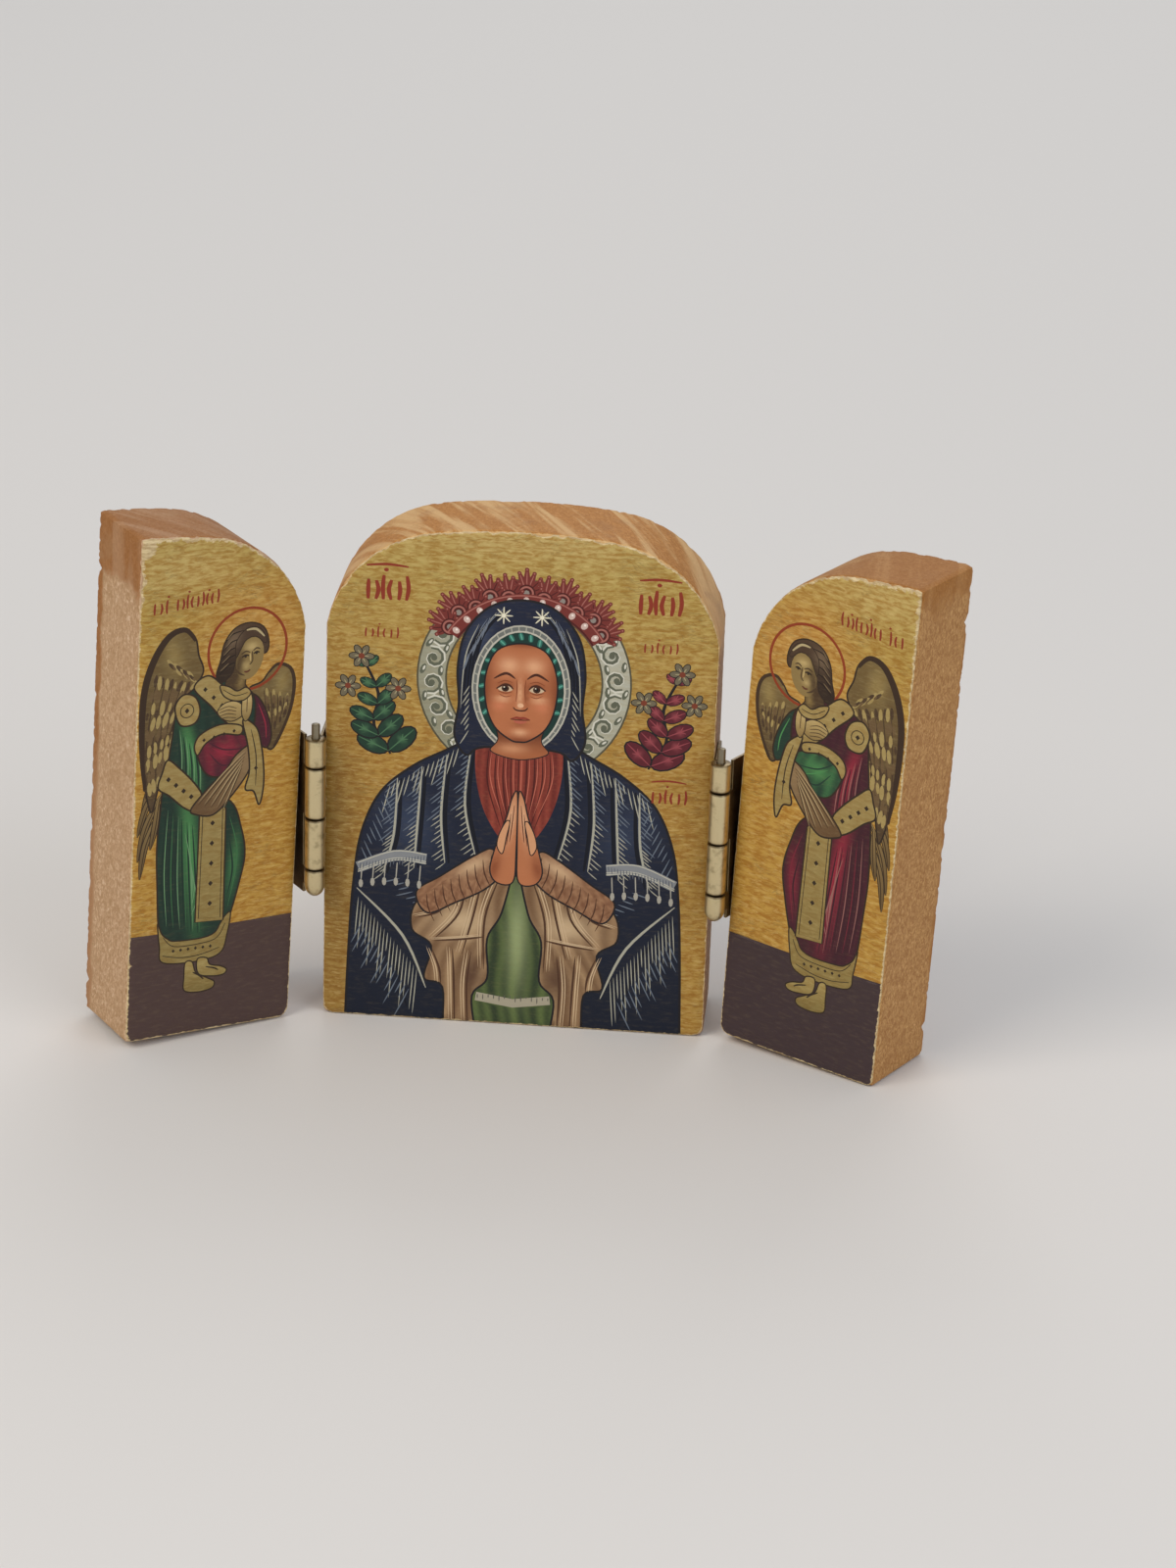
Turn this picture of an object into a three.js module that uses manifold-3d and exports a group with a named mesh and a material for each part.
// A pocket triptych: three round-headed blocks of wood joined by two small brass hinges, so that it stands
// like a folding screen. A printed picture is glued to the face of each block. The wings are the two halves
// of a block like the middle one, sawn down its centre line, and they fold over the middle block's face.
//
// Millimetres, +Z up. The faces look along -Y. The origin is the centre of the middle block's underside.
import * as THREE from "three";
import Module from "manifold-3d";
import { mergeVertices } from "three/addons/utils/BufferGeometryUtils.js";

// The blocks
const HEIGHT = 56;
const CENTER_WIDTH = 41.2;
const THICKNESS = 10.4;
const SAW_CUT = 2.7; // lost where the wings' block was sawn in two
const WING_WIDTH = (CENTER_WIDTH - SAW_CUT) / 2;
const CROWN_RADIUS = 72; // the flat arc over the middle of the round head
const CROWN_HALF_WIDTH = 9.4; // where that arc turns into the shoulders
const SHOULDER_RADIUS = 13.1;
const FOOT_RADIUS = 0.9; // rounded lower corners
const SQUARE_FOOT_RADIUS = 0.45; // where the wings' block was sawn in two
const EDGE_BEVEL = 0.4; // sanded edges round both faces
const FRONT = -THICKNESS / 2; // where the front faces lie in Y, with the wings opened flat

// The chips in the outer back edge of each wing
const CHIP_HEIGHTS = [3.4, 49.8];
const CHIP_REACH = [0.7, 1.2, 0.85]; // half sizes across the side, across the back and up the edge

// The prints
const PRINT_MARGIN = 0.4; // bare wood between a print and the outline of its block
const PRINT_THICKNESS = 0.15;
const GLUE_GAP = 0.05; // between a glued or nailed piece and the wood

// The hinges
const HINGE_HEIGHT = 18;
const HINGE_FOOT = 14.6; // lower end of the barrel
const HALF_GAP = 0.7; // from the axis to the side of the middle block
const WING_GAP = 1.06; // from the axis to the side of a wing, halfway up the hinge
const AXIS_FORWARD = 2.0; // from the faces to the axis
const BARREL_RADIUS = 1.1;
const BORE_RADIUS = 0.53;
const PIN_RADIUS = 0.45;
const PIN_PROUD = 1.6; // the pin stands out of the top of the barrel
const SHEET = 0.35; // brass sheet
const LEAF_DEPTH = 5.6; // of the leaf on the wood
const LEAF_CORNER = 1.6;
const END_KNUCKLE = 3.2; // the outer knuckles are shorter than the two inner ones
const SEAM = 0.16; // between two knuckles
const NOTCH_CLEARANCE = 0.3; // round the other leaf's knuckles
const DOME_HEIGHT = 1.3; // rounded lower end of the barrel
const ROUND_SIDES = 24;

// The nails that hold the leaves
const NAIL_HEIGHTS = [4.6, 13.4]; // above the lower end of the barrel
const NAIL_DEPTH = 2.9; // behind the face
const NAIL_RADIUS = 0.32;
const NAIL_HOLE_RADIUS = 0.42;
const NAIL_LENGTH = 4.5;
const NAIL_HEAD_RADIUS = 0.8;
const NAIL_HEAD_HEIGHT = 0.2;

// How far each wing stands forward of flat, and how far both lean to the right because their leaves were
// nailed on a little out of true. A leaning wing stands on one lower corner.
const LEFT_ANGLE = THREE.MathUtils.degToRad(35.2);
const RIGHT_ANGLE = THREE.MathUtils.degToRad(29.8);
const LEAN = THREE.MathUtils.degToRad(2.4);

const wasm = await Module();
wasm.setup();

// ---- solids ----

function solidOf(geometry) {
  const bare = geometry.clone();
  bare.deleteAttribute("normal");
  bare.deleteAttribute("uv");
  const merged = mergeVertices(bare, 1e-4);
  return new wasm.Manifold(
    new wasm.Mesh({
      numProp: 3,
      vertProperties: new Float32Array(merged.attributes.position.array),
      triVerts: new Uint32Array(merged.index.array),
    }),
  );
}

function geometryOf(solid) {
  const mesh = solid.getMesh();
  const geometry = new THREE.BufferGeometry();
  geometry.setAttribute("position", new THREE.BufferAttribute(mesh.vertProperties, 3));
  geometry.setIndex(new THREE.BufferAttribute(mesh.triVerts, 1));
  const flat = geometry.toNonIndexed();
  flat.computeVertexNormals();
  return flat;
}

function boxBetween(low, high) {
  const size = high.map((value, axis) => value - low[axis]);
  const middle = high.map((value, axis) => (value + low[axis]) / 2);
  return new THREE.BoxGeometry(...size).translate(...middle);
}

// A cylinder that stands on the given height, on the Z axis.
function uprightCylinder(radius, foot, height) {
  return new THREE.CylinderGeometry(radius, radius, height, ROUND_SIDES)
    .rotateX(Math.PI / 2)
    .translate(0, 0, foot + height / 2);
}

// A flat shape drawn in X and Z becomes a plate that runs from y = 0 backwards.
function plateOf(shape, thickness, bevel = 0) {
  const geometry = new THREE.ExtrudeGeometry(shape, {
    depth: thickness - 2 * bevel,
    bevelEnabled: bevel > 0,
    bevelThickness: bevel,
    bevelSize: bevel,
    bevelOffset: -bevel,
    bevelSegments: 1,
    curveSegments: 6,
  });
  return geometry.rotateX(Math.PI / 2).translate(0, thickness - bevel, 0);
}

// ---- outlines ----

// The round head is one flat arc between two tighter ones that touch it smoothly, moved inwards by a margin.
function headArcs(margin) {
  const turn = Math.asin(CROWN_HALF_WIDTH / CROWN_RADIUS);
  const reach = CROWN_RADIUS - SHOULDER_RADIUS;
  return {
    turn,
    crown: { x: 0, z: HEIGHT - CROWN_RADIUS, radius: CROWN_RADIUS - margin },
    shoulder: {
      x: reach * Math.sin(turn),
      z: HEIGHT - CROWN_RADIUS + reach * Math.cos(turn),
      radius: SHOULDER_RADIUS - margin,
    },
  };
}

// Outline of the block between two upright sides, as seen from the front. The sides are places across the
// whole arched block, so that a wing is the stretch on one side of the saw cut.
function archOutline(leftSide, rightSide, leftFoot, rightFoot, margin) {
  const { turn, crown, shoulder } = headArcs(margin);
  const left = leftSide + margin;
  const right = rightSide - margin;
  const quarter = Math.PI / 2;
  // The angle on an arc, from its centre, at which it stands over x.
  const angleOver = (arc, x) => Math.acos((x - arc.x) / arc.radius);
  const shape = new THREE.Shape();
  shape.moveTo(left + leftFoot, margin);
  shape.lineTo(right - rightFoot, margin);
  shape.absarc(right - rightFoot, margin + rightFoot, rightFoot, -quarter, 0, false);
  if (right > CROWN_HALF_WIDTH) {
    const start = angleOver(shoulder, right);
    shape.absarc(shoulder.x, shoulder.z, shoulder.radius, start, quarter - turn, false);
  }
  const crownStart = right > CROWN_HALF_WIDTH ? quarter - turn : angleOver(crown, right);
  const crownEnd = left < -CROWN_HALF_WIDTH ? quarter + turn : angleOver(crown, left);
  shape.absarc(crown.x, crown.z, crown.radius, crownStart, crownEnd, false);
  if (left < -CROWN_HALF_WIDTH) {
    const end = Math.PI - angleOver(shoulder, -left);
    shape.absarc(-shoulder.x, shoulder.z, shoulder.radius, quarter + turn, end, false);
  }
  shape.absarc(left + leftFoot, margin + leftFoot, leftFoot, Math.PI, 3 * quarter, false);
  return shape;
}

// The stretch of the arched block that each piece is: its two sides, and the radii of its lower corners.
const HALF_WIDTH = CENTER_WIDTH / 2;
const HALF_CUT = SAW_CUT / 2;
const STRETCHES = {
  center: [-HALF_WIDTH, HALF_WIDTH, FOOT_RADIUS, FOOT_RADIUS],
  left: [HALF_CUT, HALF_WIDTH, SQUARE_FOOT_RADIUS, FOOT_RADIUS],
  right: [-HALF_WIDTH, -HALF_CUT, FOOT_RADIUS, SQUARE_FOOT_RADIUS],
};

function blockPlate(stretch) {
  return plateOf(archOutline(...stretch, 0), THICKNESS, EDGE_BEVEL);
}

function printPlate(stretch) {
  const plate = plateOf(archOutline(...stretch, PRINT_MARGIN), PRINT_THICKNESS);
  return plate.translate(0, -GLUE_GAP - PRINT_THICKNESS, 0);
}

// ---- hinge pieces, in the hinge's own frame: the axis is Z and the barrel's lower end is z = 0 ----

// The knuckles from the bottom up. The wing's leaf and the middle block's leaf take turns.
const INNER_KNUCKLE = HINGE_HEIGHT / 2 - END_KNUCKLE;
const KNUCKLES = [END_KNUCKLE, INNER_KNUCKLE, INNER_KNUCKLE, END_KNUCKLE].reduce((list, height, index) => {
  const foot = index ? list[index - 1].top : 0;
  return [...list, { foot, top: foot + height, owner: index % 2 ? "center" : "wing", lowest: index === 0 }];
}, []);

// The lowest knuckle ends in a dome, which is a quarter of an ellipse turned about the axis.
function domedCylinder(radius, foot, top) {
  const steps = 6;
  const profile = [new THREE.Vector2(0, foot)];
  for (let i = 1; i <= steps; i++) {
    const angle = (i / steps) * (Math.PI / 2);
    profile.push(new THREE.Vector2(radius * Math.sin(angle), foot + DOME_HEIGHT * (1 - Math.cos(angle))));
  }
  profile.push(new THREE.Vector2(radius, top), new THREE.Vector2(0, top));
  return new THREE.LatheGeometry(profile, ROUND_SIDES).rotateX(Math.PI / 2);
}

function knuckleSolid({ foot, top, lowest }) {
  const low = lowest ? foot : foot + SEAM / 2;
  const high = top === HINGE_HEIGHT ? top : top - SEAM / 2;
  return solidOf(
    lowest ? domedCylinder(BARREL_RADIUS, low, high) : uprightCylinder(BARREL_RADIUS, low, high - low),
  );
}

// The flat of a leaf lies against the side of a block: side is +1 where the wood is on the +X side.
function leafFlat(side) {
  const depth = AXIS_FORWARD + LEAF_DEPTH;
  const shape = new THREE.Shape();
  shape.moveTo(0, 0);
  shape.lineTo(depth - LEAF_CORNER, 0);
  shape.absarc(depth - LEAF_CORNER, LEAF_CORNER, LEAF_CORNER, -Math.PI / 2, 0, false);
  shape.absarc(depth - LEAF_CORNER, HINGE_HEIGHT - LEAF_CORNER, LEAF_CORNER, 0, Math.PI / 2, false);
  shape.lineTo(0, HINGE_HEIGHT);
  const flat = plateOf(shape, SHEET).rotateZ(Math.PI / 2); // the plate now lies along +Y and is thick along -X
  const outer = HALF_GAP - GLUE_GAP;
  return solidOf(flat.translate(side > 0 ? outer : SHEET - outer, 0, 0));
}

// The bore is blind: it stops above the dome.
function boreSolid() {
  return solidOf(uprightCylinder(BORE_RADIUS, DOME_HEIGHT, HINGE_HEIGHT));
}

function nailHole(side, height, radius, reach) {
  const hole = new THREE.CylinderGeometry(radius, radius, reach, 12).rotateZ(Math.PI / 2);
  return hole.translate((side * reach) / 2, AXIS_FORWARD + NAIL_DEPTH, height);
}

function leafGeometry(side, owner) {
  let leaf = leafFlat(side);
  const clear = BARREL_RADIUS + NOTCH_CLEARANCE;
  for (const knuckle of KNUCKLES.filter((one) => one.owner !== owner)) {
    const low = [-clear, -clear, knuckle.foot - SEAM / 2];
    const high = [clear, clear, knuckle.top + SEAM / 2];
    leaf = leaf.subtract(solidOf(boxBetween(low, high)));
  }
  for (const knuckle of KNUCKLES.filter((one) => one.owner === owner)) {
    leaf = leaf.add(knuckleSolid(knuckle));
  }
  leaf = leaf.subtract(boreSolid());
  for (const height of NAIL_HEIGHTS) {
    leaf = leaf.subtract(solidOf(nailHole(side, height, NAIL_HOLE_RADIUS, 3)));
  }
  return geometryOf(leaf);
}

function pinGeometry() {
  const foot = DOME_HEIGHT + SEAM;
  return uprightCylinder(PIN_RADIUS, foot, HINGE_HEIGHT + PIN_PROUD - foot);
}

// A nail with a low domed head, driven along +X, its head's underside at x = 0.
function nailGeometry() {
  const profile = [
    new THREE.Vector2(0, 0),
    new THREE.Vector2(NAIL_HEAD_RADIUS * 0.6, 0.03),
    new THREE.Vector2(NAIL_HEAD_RADIUS, NAIL_HEAD_HEIGHT * 0.6),
    new THREE.Vector2(NAIL_HEAD_RADIUS, NAIL_HEAD_HEIGHT),
    new THREE.Vector2(NAIL_RADIUS, NAIL_HEAD_HEIGHT),
    new THREE.Vector2(NAIL_RADIUS, NAIL_LENGTH - 0.8),
    new THREE.Vector2(0, NAIL_LENGTH),
  ];
  return new THREE.LatheGeometry(profile, 12).rotateZ(-Math.PI / 2).translate(-NAIL_HEAD_HEIGHT, 0, 0);
}

// ---- materials ----

const material = (color, roughness, metalness) =>
  new THREE.MeshStandardMaterial({ color, roughness, metalness });
const WOOD = material(0xa9794e, 0.65, 0);
const PRINT = material(0xa5803a, 0.4, 0);
const BRASS = material(0xc2ac74, 0.32, 1);
const STEEL = material(0x8d8674, 0.35, 1);

// ---- the object ----

function named(name, geometry, finish) {
  const mesh = new THREE.Mesh(geometry, finish);
  mesh.name = name;
  return mesh;
}

// The holes that the nails sit in, in the block's own frame: its front face is y = 0.
function cutNailHoles(block, side, sideFace) {
  return NAIL_HEIGHTS.reduce((solid, height) => {
    const reach = NAIL_LENGTH + 0.5;
    const hole = nailHole(side, HINGE_FOOT + height, NAIL_HOLE_RADIUS, reach);
    return solid.subtract(solidOf(hole.translate(sideFace - side * 0.25, -AXIS_FORWARD, 0)));
  }, block);
}

// A leaf and its two nails, in the frame of the hinge's axis.
function addLeaf(group, prefix, side, owner) {
  group.add(named(`${prefix}_leaf`, leafGeometry(side, owner), BRASS));
  NAIL_HEIGHTS.forEach((height, index) => {
    const nail = named(`${prefix}_nail_${index ? "upper" : "lower"}`, nailGeometry(), BRASS);
    const headUnderside = HALF_GAP - GLUE_GAP - SHEET - 0.02;
    nail.position.set(side * headUnderside, AXIS_FORWARD + NAIL_DEPTH, height);
    nail.rotation.z = side > 0 ? 0 : Math.PI;
    group.add(nail);
  });
}

// A group at the hinge's axis: sign is -1 for the left hinge and +1 for the right one.
function hingeFrame(sign, angle, height) {
  const group = new THREE.Group();
  group.position.set(sign * (HALF_WIDTH + HALF_GAP), FRONT - AXIS_FORWARD, height);
  group.rotation.z = -sign * angle;
  return group;
}

// A leaning wing turns in the plane of its face about the middle of the hinge, and stands on the floor.
function leaned(geometry, sign) {
  const pivot = HINGE_FOOT + HINGE_HEIGHT / 2;
  const lift = sign > 0 ? WING_WIDTH * Math.sin(LEAN) : 0;
  return geometry
    .translate(-sign * WING_GAP, 0, -pivot)
    .rotateY(LEAN)
    .translate(sign * WING_GAP, 0, pivot + lift);
}

function chippedWing(plate, sign) {
  return CHIP_HEIGHTS.reduce((solid, height) => {
    const chip = new THREE.OctahedronGeometry(1).scale(...CHIP_REACH);
    chip.translate(sign * (WING_GAP + WING_WIDTH), AXIS_FORWARD + THICKNESS, height);
    return solid.subtract(solidOf(leaned(chip, sign)));
  }, solidOf(leaned(plate, sign)));
}

function buildWing(name, sign, angle) {
  const wing = hingeFrame(sign, angle, 0);
  const stretch = STRETCHES[name];
  const hingeSide = sign > 0 ? stretch[0] : stretch[1];
  const place = (plate) => plate.translate(sign * WING_GAP - hingeSide, AXIS_FORWARD, 0);
  const chipped = chippedWing(place(blockPlate(stretch)), sign);
  const drilled = NAIL_HEIGHTS.reduce((solid, height) => {
    const hole = nailHole(sign, HINGE_FOOT + height, NAIL_HOLE_RADIUS, HALF_GAP + NAIL_LENGTH);
    return solid.subtract(solidOf(hole));
  }, chipped);
  const print = solidOf(leaned(place(printPlate(stretch)), sign));
  wing.add(named(`${name}_wing`, geometryOf(drilled), WOOD));
  wing.add(named(`${name}_print`, geometryOf(print), PRINT));
  const hinge = new THREE.Group();
  hinge.position.z = HINGE_FOOT;
  addLeaf(hinge, `${name}_hinge_wing`, sign, "wing");
  wing.add(hinge);
  return wing;
}

function buildCenter() {
  const center = new THREE.Group();
  const plate = blockPlate(STRETCHES.center);
  const drilled = [-1, 1].reduce(
    (solid, sign) => cutNailHoles(solid, -sign, sign * HALF_WIDTH),
    solidOf(plate),
  );
  center.add(named("center_panel", geometryOf(drilled), WOOD));
  center.add(named("center_print", geometryOf(solidOf(printPlate(STRETCHES.center))), PRINT));
  center.position.y = FRONT;
  return center;
}

function buildCenterHinge(name, sign) {
  const hinge = hingeFrame(sign, 0, HINGE_FOOT);
  addLeaf(hinge, `${name}_hinge_center`, -sign, "center");
  hinge.add(named(`${name}_hinge_pin`, pinGeometry(), STEEL));
  return hinge;
}

const triptych = new THREE.Group();
triptych.add(
  buildCenter(),
  buildCenterHinge("left", -1),
  buildCenterHinge("right", 1),
  buildWing("left", -1, LEFT_ANGLE),
  buildWing("right", 1, RIGHT_ANGLE),
);

export default triptych;
